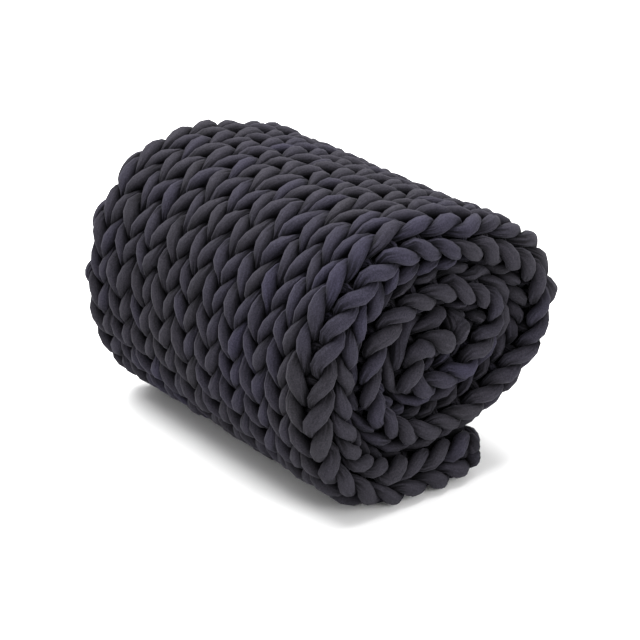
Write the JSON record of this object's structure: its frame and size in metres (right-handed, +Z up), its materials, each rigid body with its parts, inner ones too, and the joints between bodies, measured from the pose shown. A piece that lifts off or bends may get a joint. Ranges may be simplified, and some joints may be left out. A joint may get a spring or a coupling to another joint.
{
  "type": "weighted blanket",
  "caption": "Chunky knit weighted blanket of thick cotton jersey yarn, folded in half lengthwise and rolled up, with the end of the cloth flat on the ground.",
  "frame": {"origin": "on the ground under the middle of the roll, which is the bottom centre of its bounding box", "axes": "+X along the roll, from the open side edges towards the fold; +Y towards the side where the cloth's outer end lies; +Z up"},
  "size_m": [0.515, 0.4034, 0.3687],
  "materials": {
    "jersey_yarn": "matt charcoal cotton jersey yarn"
  },
  "bodies": {
    "root": {"blanket_roll": "jersey_yarn"}
  },
  "joints": []
}
